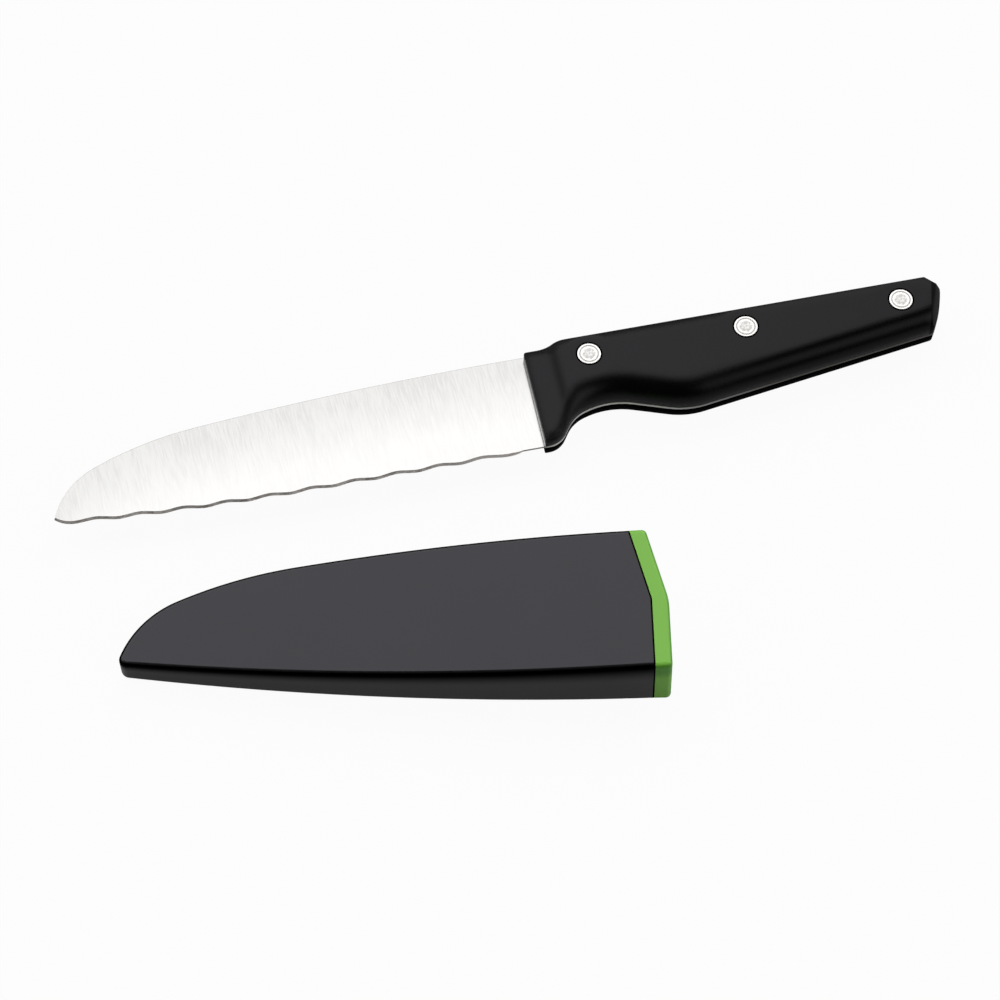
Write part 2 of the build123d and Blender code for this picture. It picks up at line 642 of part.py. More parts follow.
os.makedirs("parts", exist_ok=True)
knife_pieces = [blade, handle_scale_upper, handle_scale_lower] + rivet_sleeves + rivet_pins
scabbard_pieces = [scabbard_shell, mouth_cap, sharpener_arm, arm_pivot_pin, arm_spring] + sharpening_bars
for piece in knife_pieces + scabbard_pieces:
    export_step(piece.part, "parts/" + piece.part.label + ".step")
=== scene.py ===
"""Bread knife and its sharpening scabbard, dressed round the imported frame."""

import logging
import math
from dataclasses import dataclass, field
from enum import Enum
from typing import Any, Mapping, Sequence

import bmesh
import bpy
import numpy as np
from mathutils import Matrix, Vector


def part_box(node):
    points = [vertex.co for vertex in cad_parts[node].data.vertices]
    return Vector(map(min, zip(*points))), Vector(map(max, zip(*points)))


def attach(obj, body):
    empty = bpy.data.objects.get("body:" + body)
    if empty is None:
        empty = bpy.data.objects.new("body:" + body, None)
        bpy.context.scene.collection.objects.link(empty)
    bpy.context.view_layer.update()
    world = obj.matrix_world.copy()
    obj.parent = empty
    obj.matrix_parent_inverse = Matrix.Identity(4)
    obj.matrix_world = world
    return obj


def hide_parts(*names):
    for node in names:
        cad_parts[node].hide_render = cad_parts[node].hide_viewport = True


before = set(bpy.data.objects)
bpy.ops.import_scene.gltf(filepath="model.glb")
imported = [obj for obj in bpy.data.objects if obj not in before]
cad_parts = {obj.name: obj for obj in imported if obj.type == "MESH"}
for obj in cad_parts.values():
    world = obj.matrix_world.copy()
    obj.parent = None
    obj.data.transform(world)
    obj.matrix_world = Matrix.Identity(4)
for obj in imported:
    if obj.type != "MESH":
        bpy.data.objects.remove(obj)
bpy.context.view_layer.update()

log = logging.getLogger("bread_knife")
MM = 1e-3
WELD = 0.002 * MM
Colour = tuple[float, float, float]
Point = tuple[float, float, float]
Span = tuple[float, float]


class Body(Enum):
    """The rigid bodies of the frame."""

    KNIFE = "knife"
    SCABBARD = "scabbard"
    SHARPENER = "sharpener"


class Tree(Enum):
    """What a node tree belongs to, by the type of its output node."""

    MATERIAL = "ShaderNodeOutputMaterial"
    WORLD = "ShaderNodeOutputWorld"


class Socket:
    """A node's output with arithmetic: an expression on values adds its Math nodes."""

    def __init__(self, shader: "Shader", output: bpy.types.NodeSocket | None) -> None:
        """Keeps the tree that new nodes go to, and the output, which is None for a node without one."""
        self.shader = shader
        self.output = output

    def _math(self, operation: str, first: Any, second: Any) -> "Socket":
        """Result of one Math node on two values or Sockets, by Blender's name of the operation."""
        return self.shader.node("ShaderNodeMath", {"operation": operation}, {0: first, 1: second})

    def __add__(self, other: Any) -> "Socket":
        """self + other."""
        return self._math("ADD", self, other)

    def __radd__(self, other: Any) -> "Socket":
        """other + self."""
        return self._math("ADD", other, self)

    def __sub__(self, other: Any) -> "Socket":
        """self - other."""
        return self._math("SUBTRACT", self, other)

    def __rsub__(self, other: Any) -> "Socket":
        """other - self."""
        return self._math("SUBTRACT", other, self)

    def __mul__(self, other: Any) -> "Socket":
        """self * other."""
        return self._math("MULTIPLY", self, other)

    def __rmul__(self, other: Any) -> "Socket":
        """other * self."""
        return self._math("MULTIPLY", other, self)

    def __truediv__(self, other: Any) -> "Socket":
        """self / other."""
        return self._math("DIVIDE", self, other)

    def __abs__(self) -> "Socket":
        """Absolute value."""
        return self._math("ABSOLUTE", self, 0.0)

    def smallest(self, other: Any) -> "Socket":
        """Smaller of self and other."""
        return self._math("MINIMUM", self, other)

    def largest(self, other: Any) -> "Socket":
        """Larger of self and other."""
        return self._math("MAXIMUM", self, other)

    def step(self, low: float, high: float) -> "Socket":
        """Smooth rise from 0 at low to 1 at high; it falls where low is above high.

        Args:
            low: Value that gives 0.
            high: Value that gives 1.

        Returns:
            The mask.
        """
        if low > high:
            return 1 - self.step(high, low)
        values = {"Value": self, "From Min": low, "From Max": high}
        return self.shader.node("ShaderNodeMapRange", {"interpolation_type": "SMOOTHSTEP"}, values)


class Shader:
    """A node tree with one method that adds any node."""

    def __init__(self, tree: bpy.types.NodeTree, end: Tree = Tree.MATERIAL) -> None:
        """Empties a tree.

        Args:
            tree: Tree of a material or of the world.
            end: Which of the two it is.
        """
        self.tree = tree
        self.end = end
        tree.nodes.clear()

    def node(
        self, kind: str, settings: Mapping[str, Any] | None = None, values: Mapping[Any, Any] | None = None,
        output: int | str = 0,
    ) -> Socket:
        """Adds one node.

        Args:
            kind: Blender's type name of the node.
            settings: The node's own settings, set before its sockets.
            values: Numbers, colours or Sockets by the input's name or index.
            output: Name or index of the output to return.

        Returns:
            That output, or the first one.
        """
        made = self.tree.nodes.new(kind)
        for name, value in (settings or {}).items():
            setattr(made, name, value)
        for name, value in (values or {}).items():
            if isinstance(value, Socket):
                self.tree.links.new(value.output, made.inputs[name])
            else:
                made.inputs[name].default_value = value
        return Socket(self, made.outputs[output] if len(made.outputs) else None)

    def place(self, turn: Sequence[float] = (0, 0, 0), centre: Sequence[float] = (0, 0, 0)) -> Socket:
        """Object coordinates in metres, moved to centre and turned.

        Args:
            turn: Turn of the pattern about X, Y and Z, in radians.
            centre: Point that becomes the pattern's origin.

        Returns:
            The coordinates.
        """
        raw = self.node("ShaderNodeTexCoord", output="Object")
        values = {"Vector": raw, "Location": tuple(centre), "Rotation": tuple(turn)}
        return self.node("ShaderNodeMapping", {"vector_type": "TEXTURE"}, values)

    def stretch(self, where: Socket, scale: Sequence[float]) -> Socket:
        """Coordinates times scale, axis by axis."""
        return self.node("ShaderNodeVectorMath", {"operation": "MULTIPLY"}, {0: where, 1: tuple(scale)})

    def axis(self, where: Socket, name: str) -> Socket:
        """One of the coordinates, by its name X, Y or Z."""
        return self.node("ShaderNodeSeparateXYZ", values={0: where}, output=name)

    def noise(self, where: Socket, scale: float | Point, detail: float = 2.0, rough: float = 0.5) -> Socket:
        """Cloudy noise from 0 to 1.

        Args:
            where: Coordinates.
            scale: Clouds per unit of the coordinates, the same along each axis or one number for each.
            detail: Octaves.
            rough: Weight of the finer octaves.

        Returns:
            The noise.
        """
        if isinstance(scale, tuple):
            where, scale = self.stretch(where, scale), 1.0
        values = {"Vector": where, "Scale": scale, "Detail": detail, "Roughness": rough}
        return self.node("ShaderNodeTexNoise", values=values, output=0)

    def specks(self, where: Socket, scale: float, size: float) -> Socket:
        """1 in sparse round specks and 0 elsewhere; scale is in cells per unit, size in shares of a cell."""
        values = {"Vector": where, "Scale": scale}
        return self.node("ShaderNodeTexVoronoi", values=values, output="Distance").step(size, size * 0.5)

    def tint(self, mask: Any, low: Any, high: Any) -> Socket:
        """Colour from low, where mask is 0, to high, where it is 1; each is a colour or a Socket."""
        low, high = (c if isinstance(c, Socket) else (*c, 1.0) for c in (low, high))
        return self.node("ShaderNodeMix", {"data_type": "RGBA"}, {"Factor": mask, 6: low, 7: high}, output=2)

    def stored(self, name: str) -> Socket:
        """A number stored on the mesh, by the attribute's name."""
        return self.node("ShaderNodeAttribute", {"attribute_name": name}, output="Fac")

    def soft(self, radius: float, samples: int = 6) -> Socket:
        """Normal of the surface with its edges rounded off by radius metres, found with a few samples."""
        return self.node("ShaderNodeBevel", {"samples": samples}, {"Radius": radius})

    def relief(self, height: Socket, depth: float, normal: Socket | None = None) -> Socket:
        """Normal of a surface with a height pattern.

        Args:
            height: Pattern from 0 to 1.
            depth: Its real depth in metres.
            normal: Normal under the pattern; the mesh's own if there is none.

        Returns:
            The normal.
        """
        values: dict[Any, Any] = {"Height": height, "Distance": depth, "Strength": 1.0}
        if normal:
            values["Normal"] = normal
        return self.node("ShaderNodeBump", values=values)

    def surface(self, values: Mapping[str, Any], dark: Any = 0.0) -> None:
        """Ends the tree in a Principled surface, with matt black over a part of it: painted shade, and in
        places a dark joint.

        Args:
            values: Numbers, colours or Sockets by the shader's input names.
            dark: Share of black, from 0 to 1.
        """
        plain = self.node("ShaderNodeBsdfPrincipled", values=values)
        if dark:
            black = self.node("ShaderNodeBsdfDiffuse", values={"Color": (0.0, 0.0, 0.0, 1.0)})
            plain = self.node("ShaderNodeMixShader", values={0: dark, 1: plain, 2: black})
        self.out(plain)

    def out(self, shader: Socket) -> None:
        """Links a shader to the tree's output."""
        self.node(self.end.value, values={"Surface": shader})


@dataclass(frozen=True)
class Finish:
    """Base of every finish: a name and a material made once."""

    name: str

    def material(self) -> bpy.types.Material:
        """The finish's material, made on the first call.

        Returns:
            The material.
        """
        found = bpy.data.materials.get(self.name)
        if found is None:
            found = bpy.data.materials.new(self.name)
            found.use_nodes = True
            self.paint(Shader(found.node_tree))
        return found

    def paint(self, shader: Shader) -> None:
        """Fills an empty tree; each finish does it in its own way."""
        raise NotImplementedError


@dataclass(frozen=True)
class GroundSteel(Finish):
    """Satin blade steel with grind lines from the spine to the edge, and a coarser bevel along the edge.

    Scales are in cells per metre along X, Y and Z. streaked, honed and bevelled are the levels between which
    a pattern goes from nothing to full. pale_heel is a stretch along X. painted_shade_depth is how far below
    the spine the painted shade reaches. tang_start, polished and tang_shade_span are shares of the tang's
    length, from 0 at the handle's front to 1 at the butt; the last two place a painted highlight at the front
    end and painted shade towards the butt. rougher_bevel and rougher_tang are added to the roughness on the
    bevel and on the tang.
    """

    colour: Colour = (0.572, 0.568, 0.561)
    # shade is the darker tone of the grind streaks and pits, and also of the painted shade near the spine
    shade: Colour = (0.43, 0.425, 0.417)
    bevel: Colour = (0.26, 0.24, 0.225)
    bevel_light: Colour = (0.62, 0.58, 0.55)
    # painted highlight and painted shade for the tang's edge
    painted_tang_highlight: Colour = (0.95, 0.94, 0.91)
    painted_tang_shade: Colour = (0.17, 0.16, 0.148)
    roughness: float = 0.17
    spread: float = 0.12
    rougher_bevel: float = 0.2
    rougher_tang: float = 0.25
    lean: float = math.radians(3)
    fine_scale: Point = (2300.0, 170.0, 200.0)
    broad_scale: Point = (330.0, 60.0, 60.0)
    cloud_scale: float = 45.0
    hone_scale: Point = (300.0, 700.0, 300.0)
    pit_scale: float = 250.0
    pit_size: float = 0.04
    streaked: Span = (0.42, 0.62)
    honed: Span = (0.36, 0.64)
    bevelled: Span = (0.3, 0.7)
    painted_shade_depth: float = 26.0 * MM
    pale_heel: Span = (-35.0 * MM, -8.0 * MM)
    tang_start: Span = (0.0, 0.02)
    polished: Span = (0.40, 0.18)
    tang_shade_span: Span = (0.30, 0.62)
    groove_depth: float = 0.008 * MM

    def paint(self, shader: Shader) -> None:
        """Fine streaks across the blade, strongest near the spine, broad soft bands, a few pits, and painted
        shade that darkens the steel towards the spine.

        The bevel's coarse lines run out into plain pale steel at the heel. The tang is duller than the blade,
        with a painted highlight at its front end and painted shade towards the butt.

        Args:
            shader: Tree being filled.
        """
        where = shader.place(turn=(0, 0, self.lean))
        fine = shader.noise(where, self.fine_scale, detail=3.0, rough=0.6)
        broad = shader.noise(where, self.broad_scale)
        clouds = shader.noise(where, self.cloud_scale)
        pits = shader.specks(where, self.pit_scale, self.pit_size)
        lines = fine * 0.6 + broad * 0.2 + clouds * 0.2
        # painted shade: the steel darkens towards the spine, over painted_shade_depth below it
        spine_shade = shader.stored("from_spine").step(self.painted_shade_depth, 0.0)
        streaks = lines.step(*self.streaked) * (spine_shade * 0.25 + 0.09)
        # the grind streaks and pits are the steel's own marks; the spine term is painted shade
        streaks_and_shade = (streaks + spine_shade * 0.55 + pits * 0.6).smallest(1.0)
        on_bevel = shader.stored("bevel").step(*self.bevelled)
        coarse = shader.noise(where, self.hone_scale, detail=3.0, rough=0.7).step(*self.honed)
        coarse = coarse.largest(shader.axis(shader.place(), "X").step(*self.pale_heel))
        ground = shader.tint(streaks_and_shade, self.colour, self.shade)
        tang = shader.stored("tang")
        on_tang = tang.step(*self.tang_start)
        # painted highlight on the tang's front end, and painted shade towards the butt
        ground = shader.tint(on_tang * tang.step(*self.polished), ground, self.painted_tang_highlight)
        ground = shader.tint(tang.step(*self.tang_shade_span), ground, self.painted_tang_shade)
        hone = shader.tint(coarse, self.bevel, self.bevel_light)
        rough = lines * self.spread + on_bevel * self.rougher_bevel + on_tang * self.rougher_tang
        shader.surface({
            "Base Color": shader.tint(on_bevel, ground, hone),
            "Metallic": 1 - on_bevel * 0.7,
            "Roughness": rough + (self.roughness - self.spread / 2),
            "Normal": shader.relief(lines - pits * 0.4, self.groove_depth),
        })


@dataclass(frozen=True)
class TurnedSteel(Finish):
    """Rivet head: turned rings near the rim, one deeper groove and a rough middle.

    middle and groove are shares of the radius, and speckled is where the grain goes from nothing to full.
    """

    centre: Point = (0.0, 0.0, 0.0)
    colour: Colour = (0.87, 0.86, 0.84)
    shade: Colour = (0.55, 0.54, 0.52)
    roughness: float = 0.24
    radius: float = 3.6 * MM
    pitch: float = 0.3 * MM
    middle: Span = (0.70, 0.48)
    groove: float = 0.79
    groove_width: Span = (0.45 * MM, 0.05 * MM)
    grain_scale: float = 1300.0
    speckled: Span = (0.40, 0.60)
    turned_depth: float = 0.02 * MM
    edge: float = 0.3 * MM

    def paint(self, shader: Shader) -> None:
        """Rings from the distance to the rivet's axis, and a broken grain inside them.

        Args:
            shader: Tree being filled.
        """
        where = shader.place(centre=self.centre)
        flat = shader.stretch(where, (1, 1, 0))
        away = shader.node("ShaderNodeVectorMath", {"operation": "LENGTH"}, {0: flat}, output="Value")
        wave = shader.node("ShaderNodeMath", {"operation": "SINE"}, {0: away * (2 * math.pi / self.pitch)})
        rings = wave * 0.5 + 0.5
        middle = away.step(*(self.radius * share for share in self.middle))
        grain = shader.noise(where, self.grain_scale, detail=4.0, rough=0.7)
        groove = abs(away - self.radius * self.groove).step(*self.groove_width)
        # the mottled grain is the rivet's own; the groove's darker ring is painted shade
        grain_and_groove_shade = (grain.step(*self.speckled) * middle * 0.85 + groove * 0.25).smallest(1.0)
        height = rings * (1 - middle) * 0.5 + grain * middle - groove * 0.3
        shader.surface({
            "Base Color": shader.tint(grain_and_groove_shade, self.colour, self.shade),
            "Metallic": 1.0,
            "Roughness": middle * 0.22 + groove * 0.5 + grain * 0.12 + self.roughness,
            "Normal": shader.relief(height, self.turned_depth, shader.soft(self.edge)),
        })


@dataclass(frozen=True)
class MouldedPlastic(Finish):
    """Moulded plastic: fine stipple, soft sheen changes, dust specks and rubbed edges.

    Scales are in cells per metre, and dust_size is a share of a cell. dusty and rubbed are the levels between
    which a pattern goes from nothing to full.
    """

    colour: Colour = (0.02, 0.02, 0.022)
    worn: Colour = (0.035, 0.035, 0.038)
    roughness: float = 0.4
    spread: float = 0.1
    specular: float = 0.4
    gloss_tint: Colour = (1.0, 1.0, 1.0)
    stipple: float = 0.006 * MM
    stipple_scale: float = 3200.0
    cloud_scale: float = 55.0
    flow_scale: Point = (14.0, 60.0, 60.0)
    rubbed: Span = (0.42, 0.68)
    edge: float = 0.25 * MM
    dust: float = 0.5
    dust_scale: float = 160.0
    dust_size: float = 0.035
    dusty: Span = (0.45, 0.70)

    def paint(self, shader: Shader) -> None:
        """Two sizes of stipple, clouds in the sheen, and pale specks of dust.

        Args:
            shader: Tree being filled.
        """
        where = shader.place()
        grain = shader.noise(where, self.stipple_scale, detail=3.0, rough=0.6)
        clouds = shader.noise(where, self.cloud_scale, detail=3.0, rough=0.55)
        flow = shader.noise(where, self.flow_scale)
        dust = shader.specks(where, self.dust_scale, self.dust_size) * clouds.step(*self.dusty)
        rubbed = (clouds * 0.55 + flow * 0.45).step(*self.rubbed)
        base = shader.tint((rubbed * 0.45 + dust * self.dust).smallest(1.0), self.colour, self.worn)
        shader.surface({
            "Base Color": self.shade(shader, base),
            "Roughness": grain * self.spread + clouds * self.spread + (self.roughness - self.spread),
            "Specular IOR Level": self.specular,
            "Specular Tint": (*self.gloss_tint, 1.0),
            "Normal": shader.relief(grain * 0.8 + clouds * 0.2 + dust, self.stipple, self.rounded(shader)),
        }, self.dark(shader))

    def rounded(self, shader: Shader) -> Socket | None:
        """Normal with its edges softened by edge, or None where that is 0."""
        return shader.soft(self.edge) if self.edge else None

    def shade(self, shader: Shader, base: Socket) -> Socket:
        """The colour with whatever the piece adds to it; here nothing."""
        return base

    def dark(self, shader: Shader) -> Any:
        """Share of matt black, for painted shade, from 0 to 1; here none."""
        return 0.0


@dataclass(frozen=True)
class RivetedPlastic(MouldedPlastic):
    """Handle plastic with a dark gap round each rivet, widened by a ring of painted shade, and painted shade
    that grows towards the rear end.

    ring is where the gap's black starts and is full, in gaps from a rivet's head. clear is where the larger
    softening starts and is full, measured from a head, and fading is where it falls to grip_share, in shares
    of the length from front to rear. painted_shade_front, painted_shade_rear and painted_shade_facet are
    shares of painted shade (matt black) at the front, at the rear and over the facet at the butt.
    """

    rivets: tuple[Point, ...] = ()
    head: float = 3.6 * MM
    gap: float = 0.42 * MM
    ring: Span = (1.5, 1.0)
    clear: Span = (1.5 * MM, 5.0 * MM)
    grip_edge: float = 5.2 * MM
    grip_share: float = 0.4
    fading: Span = (0.33, 0.65)
    front: float = 0.0
    rear: float = 1.0
    spine: float = 0.0
    painted_shade_front: float = 0.0
    painted_shade_rear: float = 0.16
    painted_shade_facet: float = 0.7
    facet: float = 2.6 * MM
    facet_blur: float = 0.2 * MM
    butt_lean: float = 0.26

    def away(self, shader: Shader) -> Socket:
        """Distance from the nearest rivet's axis.

        Args:
            shader: Tree being filled.

        Returns:
            The distance in metres.
        """
        nearest = None
        for rivet in self.rivets:
            flat = shader.stretch(shader.place(centre=rivet), (1, 1, 0))
            away = shader.node("ShaderNodeVectorMath", {"operation": "LENGTH"}, {0: flat}, output="Value")
            nearest = nearest.smallest(away) if nearest else away
        return nearest

    def rounded(self, shader: Shader) -> Socket:
        """Edges softened by grip_edge, by edge alone round the rivets, and by less at the rear.

        Args:
            shader: Tree being filled.

        Returns:
            The normal.
        """
        start, end = (self.front + share * (self.rear - self.front) for share in self.fading)
        along = shader.axis(shader.place(), "X").step(start, end)
        mask = self.away(shader).step(*(self.head + reach for reach in self.clear))
        mask = mask * (1 - along * (1 - self.grip_share))
        values = {"Factor": mask, 4: shader.soft(self.edge), 5: shader.soft(self.grip_edge)}
        return shader.node("ShaderNodeMix", {"data_type": "VECTOR"}, values, output=1)

    def dark(self, shader: Shader) -> Socket:
        """Painted shade: a ring round each rivet's axis, a slow rise towards the rear, and the facet at the
        butt.

        The facet starts at the line x + butt_lean (spine - y) = rear - facet.

        Args:
            shader: Tree being filled.

        Returns:
            The share of matt black, which is painted shade.
        """
        # the real clearance is a dark joint; the black ring beyond it is painted shade
        ring = self.away(shader).step(*(self.head + self.gap * gaps for gaps in self.ring))
        along, across = (shader.axis(shader.place(), name) for name in "XY")
        # painted shade that grows from the front to the rear
        rear_shade = along.step(self.front, self.rear) * (self.painted_shade_rear - self.painted_shade_front) + self.painted_shade_front
        butt = along + (self.spine - across) * self.butt_lean
        line = self.rear - self.facet
        # painted shade over the facet at the butt
        facet = butt.step(line - self.facet_blur, line + self.facet_blur) * self.painted_shade_facet
        return ring.largest(rear_shade).largest(facet)


@dataclass(frozen=True)
class Wedge:
    """The scabbard's own frame: x out of the mouth, y to the upper edge, z through the thickness.

    half_mouth is half of the thickness at the joint with the cap, and narrowing is its change along x. Above
    kink on y, the joint leans back by slant.
    """

    origin: Point = (22.5962 * MM, -58.151 * MM, 11.1404 * MM)
    bore: Point = (0.982285, -0.182765, 0.041394)
    across: Point = (0.182922, 0.983127, 0.0)
    half_mouth: float = 11.15 * MM
    narrowing: float = 0.04143
    kink: float = 22.3 * MM
    slant: float = math.radians(13.855)

    def place(self, shader: Shader) -> Socket:
        """Coordinates in this frame.

        Args:
            shader: Tree being filled.

        Returns:
            The coordinates.
        """
        through = Vector(self.bore).cross(Vector(self.across))
        turn = Matrix((self.bore, self.across, through)).transposed().to_euler()
        return shader.place(turn=tuple(turn), centre=self.origin)

    def ahead(self, shader: Shader) -> Socket:
        """Distance in front of the joint between the shell and its cap, along the bore.

        Args:
            shader: Tree being filled.

        Returns:
            The distance in metres; it is negative on the shell.
        """
        where = self.place(shader)
        above = (shader.axis(where, "Y") - self.kink).largest(0.0)
        return shader.axis(where, "X") + above * math.tan(self.slant)

    def down(self, shader: Shader) -> tuple[Socket, Socket]:
        """Depth below the upper flat side.

        Args:
            shader: Tree being filled.

        Returns:
            The depth in metres, and the same as a share of the thickness there.
        """
        where = self.place(shader)
        half = shader.axis(where, "X") * self.narrowing + self.half_mouth
        depth = half - shader.axis(where, "Z")
        return depth, depth / (half * 2)


@dataclass(frozen=True)
class ShellPlastic(MouldedPlastic):
    """Scabbard plastic: painted shade under the turned edge, painted light low on the wall.

    turned is a depth below the upper side, and painted_light_share and painted_shade_share are shares of the
    wall's height. The dark line lies at seam, in joints behind the cap.
    """

    wedge: Wedge = field(default_factory=Wedge)
    # painted light: the paler colour low on the wall
    pale: Colour = (0.0148, 0.014, 0.014)
    turned: Span = (0.03 * MM, 0.30 * MM)
    painted_light_share: Span = (0.02, 0.20)
    painted_shade_share: Span = (0.45, 0.01)
    joint: float = 0.5 * MM
    seam: Span = (1.3, 0.7)

    def shade(self, shader: Shader, base: Socket) -> Socket:
        """Painted light: paler low on the walls."""
        _, share = self.wedge.down(shader)
        return shader.tint(share.step(*self.painted_light_share), base, self.pale)

    def dark(self, shader: Shader) -> Socket:
        """Painted shade under the turned edge, fading out by half of the wall, and a thin dark line along the
        joint.

        Args:
            shader: Tree being filled.

        Returns:
            The share of matt black: painted shade, and the dark joint.
        """
        depth, share = self.wedge.down(shader)
        # painted shade under the turned edge
        under = depth.step(*self.turned) * share.step(*self.painted_shade_share)
        return under.largest(self.wedge.ahead(shader).step(*(-self.joint * joints for joints in self.seam)))


@dataclass(frozen=True)
class CapPlastic(MouldedPlastic):
    """Cap plastic: painted shade, a deeper green, along its outer rim and under its turned edge.

    rim is a distance from the outer rim, turned a depth below the upper side, and under a share of the wall's
    height. painted_shade_green is the colour of that painted shade.
    """

    wedge: Wedge = field(default_factory=Wedge)
    painted_shade_green: Colour = (0.06, 0.32, 0.008)
    length: float = 5.0 * MM
    rim: Span = (0.55 * MM, 0.1 * MM)
    turned: Span = (0.1 * MM, 0.7 * MM)
    under: Span = (0.42, 0.18)

    def shade(self, shader: Shader, base: Socket) -> Socket:
        """Painted shade: deeper near the outer rim, and on the wall just under the turned edge.

        Args:
            shader: Tree being filled.
            base: Colour of the plastic.

        Returns:
            The colour.
        """
        depth, share = self.wedge.down(shader)
        # painted shade standing in for the dark reflection in the rounded outer rim
        rim = self.wedge.ahead(shader).step(*(self.length - inside for inside in self.rim))
        # painted shade just under the turned edge
        under = depth.step(*self.turned) * share.step(*self.under)
        return shader.tint((rim * 0.7).largest(under * 0.75), base, self.painted_shade_green)


@dataclass(frozen=True)
class FiredCeramic(Finish):
    """Sharpening ceramic: an off-white, gritty body with grey steel left on it."""

    colour: Colour = (0.72, 0.70, 0.64)
    swarf: Colour = (0.25, 0.25, 0.26)
    roughness: float = 0.6
    grit_scale: float = 5200.0
    rub_scale: Point = (900.0, 260.0, 260.0)
    rubbed: Span = (0.52, 0.72)
    grit_depth: float = 0.03 * MM

    def paint(self, shader: Shader) -> None:
        """Grit in the relief and uneven grey rubs.

        Args:
            shader: Tree being filled.
        """
        where = shader.place()
        grit = shader.noise(where, self.grit_scale, rough=0.7)
        rubs = shader.noise(where, self.rub_scale, detail=3.0).step(*self.rubbed)
        shader.surface({
            "Base Color": shader.tint(rubs * 0.6, self.colour, self.swarf),
            "Roughness": grit * 0.2 + self.roughness,
            "Normal": shader.relief(grit, self.grit_depth),
        })


@dataclass(frozen=True)
class DrawnSteel(Finish):
    """Drawn wire and pin stock with fine lines along it."""

    colour: Colour = (0.5, 0.5, 0.51)
    shade: Colour = (0.3, 0.3, 0.31)
    roughness: float = 0.25
    line_scale: Point = (2600.0, 2600.0, 200.0)
    line_depth: float = 0.008 * MM

    def paint(self, shader: Shader) -> None:
        """Draw lines from stretched noise.

        Args:
            shader: Tree being filled.
        """
        lines = shader.noise(shader.place(), self.line_scale)
        shader.surface({
            "Base Color": shader.tint(lines, self.colour, self.shade),
            "Metallic": 1.0,
            "Roughness": lines * 0.15 + self.roughness,
            "Normal": shader.relief(lines, self.line_depth),
        })


def dress(node: str, finish: Finish) -> None:
    """Gives a node of the frame its finish.

    Args:
        node: Name of the node.
        finish: Its finish.
    """
    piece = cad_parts[node]
    for slot in piece.material_slots:
        slot.material = finish.material()
    log.info("node %s: %s", node, finish.name)


def mesh_of_grid(name: str, points: np.ndarray, sharp: float) -> bpy.types.Object:
    """Mesh of a grid of points: quads join point (i, j) to (i+1, j+1), and j is closed into a ring.

    Args:
        name: Name of the piece.
        points: Array of stations by ring points by 3.
        sharp: Angle in radians above which an edge is sharp.

    Returns:
        The object, in the scene.
    """
    rows, ring, _ = points.shape
    index = np.arange(rows * ring).reshape(rows, ring)
    after = np.roll(index, -1, axis=1)
    quads = np.stack([index[:-1], index[1:], after[1:], after[:-1]], axis=-1).reshape(-1, 4)
    mesh = bpy.data.meshes.new(name)
    mesh.vertices.add(rows * ring)
    mesh.vertices.foreach_set("co", points.reshape(-1))
    mesh.loops.add(quads.size)
    mesh.loops.foreach_set("vertex_index", quads.reshape(-1))
    mesh.polygons.add(len(quads))
    mesh.polygons.foreach_set("loop_start", np.arange(0, quads.size, 4))
    mesh.update(calc_edges=True)
    weld(mesh)
    mesh.shade_smooth()
    mesh.set_sharp_from_angle(angle=sharp)
    piece = bpy.data.objects.new(name, mesh)
    bpy.context.scene.collection.objects.link(piece)
    return piece


def weld(mesh: bpy.types.Mesh) -> None:
    """Merges doubled points, closes the ends of a tube and points every face outwards.

    Args:
        mesh: Mesh to mend.
    """
    work = bmesh.new()
    work.from_mesh(mesh)
    bmesh.ops.remove_doubles(work, verts=work.verts[:], dist=WELD)
    bmesh.ops.holes_fill(work, edges=[e for e in work.edges if e.is_boundary], sides=0)
    bmesh.ops.recalc_face_normals(work, faces=work.faces[:])
    work.to_mesh(mesh)
    work.free()


